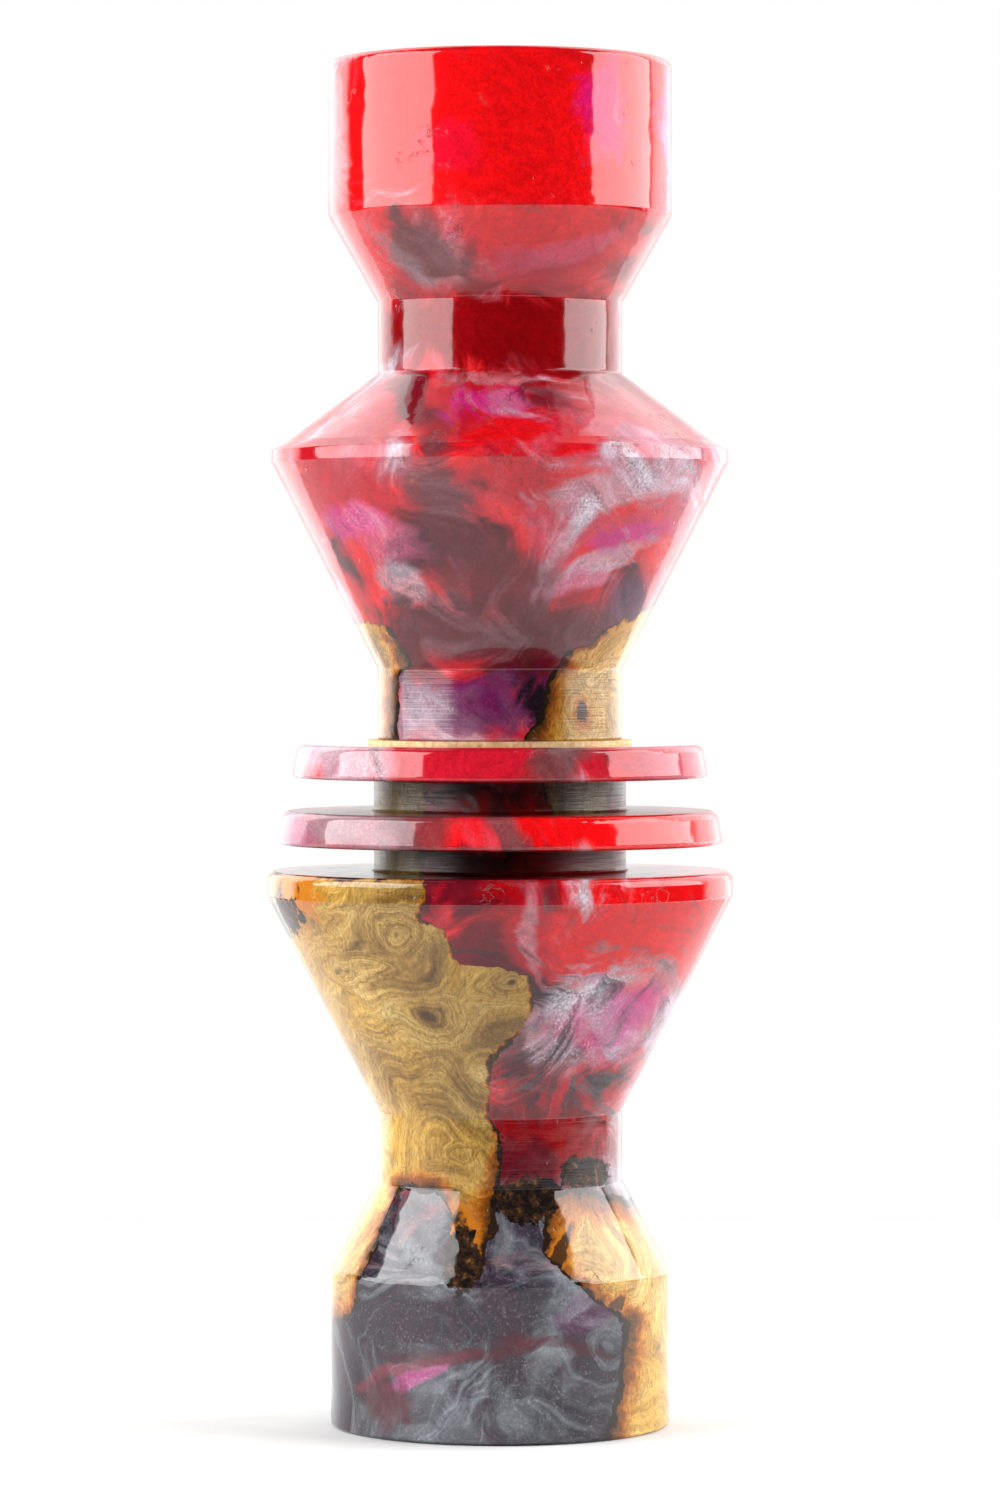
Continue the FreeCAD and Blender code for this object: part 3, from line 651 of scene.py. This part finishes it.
def flaws(graph, point):
    """Where the lacquer has pits or cracks, and where it has cracks alone."""
    pit = graph.smooth(graph.noise(point, 1.1, 2.0, 0.5), 0.27, 0.22)
    ridge = graph.math("ABSOLUTE", graph.math("SUBTRACT", graph.noise(point, 0.55, 5.0, 0.6), 0.5))
    cracked = graph.smooth(graph.noise(point, 0.16, 2.0), 0.60, 0.66)
    crack = graph.math("MULTIPLY", graph.smooth(ridge, 0.010, 0.003), cracked)
    return graph.math("MAXIMUM", pit, crack), crack


def hybrid(name, piece, patches, inside_burl, eyes, stains, bark_bits, bands, rim_and_light_heights, shadow, light):
    """Cast resin and burl in one material, because the live edge between them is finer than a joint."""
    graph = MaterialGraph(name)
    point = graph.place()
    rings, dull_and_shaded = tool_lines(graph, point, piece, bands)
    colour, mica, stirred, broad, silk = marbled(graph, point, patches, piece)
    colour = shimmering(graph, colour, point, mica, stirred, broad, silk, shadow, light)
    edge_on = graph.add("LayerWeight", {"Blend": 0.5}).outputs["Facing"]
    colour = graph.shaded(colour, graph.smooth(edge_on, 0.0, 0.40, 1.0, EDGE_SHADE))
    inside = inside_burl(graph, point, piece)
    wood = burl(graph, point, piece, eyes, stains, inside, rim_and_light_heights)
    wood = graph.mix(bark_line(graph, point, inside, piece, rim_and_light_heights), wood, BARK_LINE_COLOUR)
    colour = graph.mix(graph.smooth(inside, -0.06, 0.06), colour, wood)
    colour = with_bark(graph, colour, point, piece, bark_bits)
    # Painted shade: the less polished bands are darkened, most of all the grooves between the discs.
    colour = graph.shaded(colour, graph.math("MULTIPLY_ADD", dull_and_shaded, BAND_PAINTED_SHADE, 1.0))
    hollow, crack = flaws(graph, point)
    colour = graph.mix(graph.math("MULTIPLY", crack, 0.7), colour, CRACK_COLOUR)
    roughness = graph.math("ADD", graph.math("MULTIPLY_ADD", dull_and_shaded, 0.22, POLISH),
                           graph.math("MULTIPLY", graph.noise(point, 0.5, 2.0), 0.05))
    height = graph.math("MULTIPLY", rings, graph.math("MULTIPLY", dull_and_shaded, 1.3))
    height = graph.math("SUBTRACT", height, graph.math("MULTIPLY", hollow, 0.5))
    height = graph.math("MULTIPLY_ADD", graph.noise(point, 0.25, 2.0, 0.5), 1.5, height)
    normal = graph.bump(height, 0.6, 0.10 * MM)
    return graph.surface(colour, roughness, normal, IOR=LACQUER_INDEX)


def dress(material, *nodes):
    """Gives CAD nodes a material."""
    for node in nodes:
        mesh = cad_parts[node].data
        mesh.materials.clear()
        mesh.materials.append(material)


def mottled(name, dark, light, scale, roughness, bump):
    """A mottled material for the small pieces. Its roughness goes from one value to another."""
    graph = MaterialGraph(name)
    point = graph.place()
    mottle = graph.noise(point, scale, 4.0, 0.65)
    colour = graph.ramp(mottle, [(0.30, dark), (0.70, light)])
    rough = graph.smooth(mottle, 0.3, 0.7, *roughness)
    normal = graph.bump(graph.noise(point, scale * 2.5, 3.0, 0.7), bump, 0.05 * MM)
    return graph.surface(colour, rough, normal)


BARREL_SHIMMER = ((0.16, 0.008, 0.03), (0.72, 0.60, 0.70))     # colours of the gaps and of the mica
INSERT_SHIMMER = ((0.05, 0.010, 0.02), (0.50, 0.56, 0.60))

barrel_look = hybrid("marbled_resin_barrel", Piece("barrel_resin"), BARREL_PATCHES, inside_barrel_burl,
                     BARREL_EYES, BARREL_STAINS, (), BARREL_BANDS, BARREL_RIM_AND_LIGHT_HEIGHTS, *BARREL_SHIMMER)
insert_look = hybrid("marbled_resin_insert", Piece("insert_resin"), INSERT_PATCHES, inside_insert_burl,
                     INSERT_EYES, INSERT_STAINS, INSERT_BARK_BITS, INSERT_BANDS, INSERT_RIM_AND_LIGHT_HEIGHTS, *INSERT_SHIMMER)
dress(barrel_look, "barrel_resin", "barrel_burl_left", "barrel_burl_right")
dress(insert_look, "insert_resin", "insert_burl_left", "insert_burl_right", "insert_burl_upper",
      "insert_bark_chips")
cork = mottled("cork", (0.42, 0.24, 0.09), (0.78, 0.58, 0.32),
               scale=1.6, roughness=(0.75, 0.95), bump=0.8)
polycarbonate = mottled("machined_polycarbonate", (0.19, 0.20, 0.20), (0.27, 0.28, 0.28),
                        scale=0.8, roughness=(0.18, 0.32), bump=0.25)
frosted_film = mottled("frosted_film", (0.44, 0.46, 0.45), (0.56, 0.58, 0.57),
                       scale=1.2, roughness=(0.30, 0.45), bump=0.15)
rubber = mottled("nitrile_rubber", (0.010, 0.010, 0.010), (0.030, 0.030, 0.031),
                 scale=2.2, roughness=(0.45, 0.65), bump=0.35)
dress(cork, "joint_washer", "reed_wedge")
dress(polycarbonate, "tone_board")
dress(rubber, "lower_o_ring", "upper_o_ring")


# --- Reeds -----------------------------------------------------------------------------------------
REED_TIP_RADIUS = 5.0 * MM
ROW_STEP = 0.4 * MM


def reed_half_width(z, half_width, top):
    """The reed's half width at a height, which follows an arc at each corner of the tip."""
    past = z - (top - REED_TIP_RADIUS)
    if past <= 0:
        return half_width
    return half_width - REED_TIP_RADIUS + math.sqrt(max(REED_TIP_RADIUS ** 2 - past ** 2, 0.0))


def make_reed(node):
    """A thin film with rows of faces across it, in place of the reed's CAD node, which it hides."""
    low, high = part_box(node)
    count = round((high.z - low.z) / ROW_STEP)
    heights = [low.z + (high.z - low.z) * row / count for row in range(count + 1)]
    points = []
    for z in heights:
        half = reed_half_width(z, high.x, high.z)
        points += [(-half, low.y, z), (half, low.y, z), (half, high.y, z), (-half, high.y, z)]
    faces = [(0, 3, 2, 1), tuple(4 * count + corner for corner in range(4))]
    for row in range(count):
        for corner in range(4):
            following = (corner + 1) % 4
            this, beside = 4 * row + corner, 4 * row + following
            faces.append((this, beside, beside + 4, this + 4))
    mesh = bpy.data.meshes.new(node + "_film")
    mesh.from_pydata(points, [], faces)
    mesh.materials.append(frosted_film)
    film = bpy.data.objects.new(node + "_film", mesh)
    bpy.context.scene.collection.objects.link(film)
    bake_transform(film)
    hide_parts(node)


make_reed("lower_reed")
make_reed("upper_reed")


# --- Floor, light and camera -----------------------------------------------------------------------
FLOOR_REACH = (0.45, 0.19)     # how far the oval sheet under the call reaches sideways and forwards
FLOOR_STOPS = [(0.3, (0.56, 0.56, 0.56)), (0.7, (0.59, 0.59, 0.59))]
SOFTBOX_DISTANCE = 0.70
SOFTBOX_RADIANCE = 6.3
# Azimuths of a softbox's edges from the front towards the right, and elevations of its lower and
# upper edge, all in degrees and seen from the middle of the call.
LEFT_SOFTBOX = (-103.0, -45.0, -1.2, 50.0)
RIGHT_SOFTBOX = (64.0, 119.0, -0.3, 50.0)
HOT_SPOT_RADIANCE = 5.5        # added by the lamp behind the cloth, over the upper part
HOT_SPOT_BOTTOM = 18.0
# Where the room's light changes, in degrees: from straight behind the call for the ends of its bright
# part and of the dimmer middle of that, and in elevation for the dark roof.
BRIGHT_ENDS = (61, 54)
MIDDLE_ENDS = (24, 12)
ROOF_EDGE = (72, 58)
ROOM_DARK = 0.03               # strength of the room in front of the call
ROOM_BRIGHT = 2.8              # and behind it
MIDDLE_SHARE = 0.45            # how much of that is left straight behind the call, and under the roof
ROOF_SHARE = 0.03
CAMERA_DISTANCE = 0.550
CAMERA_HEIGHT = 0.0743
LENS = 141.6                   # on a sensor 36 mm long, along the picture's height
PITCH = 1.185                  # degrees down


def make_floor():
    """A pale oval sheet."""
    bpy.ops.mesh.primitive_circle_add(vertices=128, radius=1.0, fill_type="NGON", location=(0, 0, 0))
    floor = bpy.context.object
    floor.scale = (*FLOOR_REACH, 1.0)
    floor.name = "floor"
    graph = MaterialGraph("pale_sheet")
    mottle = graph.noise(graph.place(), 0.05, 3.0)
    colour = graph.ramp(mottle, FLOOR_STOPS)
    floor.data.materials.append(graph.surface(colour, 0.6))


def make_softbox(name, edges, height, radiance):
    """A tall rectangular light that faces the call."""
    low, high, lower, upper = (math.radians(edge) for edge in edges)
    middle = (low + high) / 2
    width = 2 * SOFTBOX_DISTANCE * math.tan((high - low) / 2)
    bottom = height + SOFTBOX_DISTANCE * math.tan(lower)
    top = height + SOFTBOX_DISTANCE * math.tan(upper)
    light = bpy.data.lights.new(name, "AREA")
    light.shape = "RECTANGLE"
    light.size = width
    light.size_y = top - bottom
    light.energy = radiance * math.pi * width * (top - bottom)
    lamp = bpy.data.objects.new(name, light)
    bpy.context.scene.collection.objects.link(lamp)
    outward = Vector((math.sin(middle), -math.cos(middle), 0))
    lamp.location = outward * SOFTBOX_DISTANCE + Vector((0, 0, (bottom + top) / 2))
    lamp.rotation_euler = outward.to_track_quat("Z", "Y").to_euler()
    lamp.visible_camera = False


def make_world():
    """White behind everything, and a room that is bright behind the call and dark in front of it."""
    world = bpy.data.worlds.new("studio")
    bpy.context.scene.world = world
    world.use_nodes = True
    graph = Graph(world.node_tree)
    x, y, z = graph.axes(graph.add("TexCoord").outputs["Generated"])
    flat = graph.math("SQRT", graph.math("ADD", graph.math("MULTIPLY", x, x), graph.math("MULTIPLY", y, y)))
    behind = graph.math("DIVIDE", y, graph.math("MAXIMUM", flat, 0.001))
    bright_ends = [math.cos(math.radians(angle)) for angle in BRIGHT_ENDS]
    middle_ends = [math.cos(math.radians(angle)) for angle in MIDDLE_ENDS]
    roof_edge = [math.sin(math.radians(angle)) for angle in ROOF_EDGE]
    bright = graph.smooth(behind, *bright_ends, ROOM_DARK, ROOM_BRIGHT)
    dimmer = graph.smooth(behind, *middle_ends, 1.0, MIDDLE_SHARE)
    low = graph.smooth(z, *roof_edge, ROOF_SHARE, 1.0)
    room = graph.math("MULTIPLY", graph.math("MULTIPLY", bright, dimmer), low)
    seen = graph.add("LightPath").outputs["Is Camera Ray"]
    strength = graph.add("Mix", {0: seen, 2: room, 3: 1.0}, data_type="FLOAT").outputs[0]
    background = graph.add("Background", {"Color": (1, 1, 1, 1), "Strength": strength})
    graph.add("OutputWorld", {"Surface": background.outputs[0]})


def make_camera():
    camera = bpy.data.objects.new("camera", bpy.data.cameras.new("camera"))
    bpy.context.scene.collection.objects.link(camera)
    camera.data.sensor_fit = "AUTO"
    camera.data.sensor_width = 36.0
    camera.data.lens = LENS
    camera.location = (0, -CAMERA_DISTANCE, CAMERA_HEIGHT)
    camera.rotation_euler = (math.radians(90 - PITCH), 0, 0)
    bpy.context.scene.camera = camera


make_floor()
call_middle = (cad_low.z + cad_high.z) / 2
for side, edges in (("left", LEFT_SOFTBOX), ("right", RIGHT_SOFTBOX)):
    make_softbox(side + "_softbox", edges, call_middle, SOFTBOX_RADIANCE)
    hot_edges = (edges[0], edges[1], HOT_SPOT_BOTTOM, edges[3])
    make_softbox(side + "_hot_spot", hot_edges, call_middle, HOT_SPOT_RADIANCE)
make_world()
make_camera()
bpy.context.scene.view_settings.view_transform = "Standard"
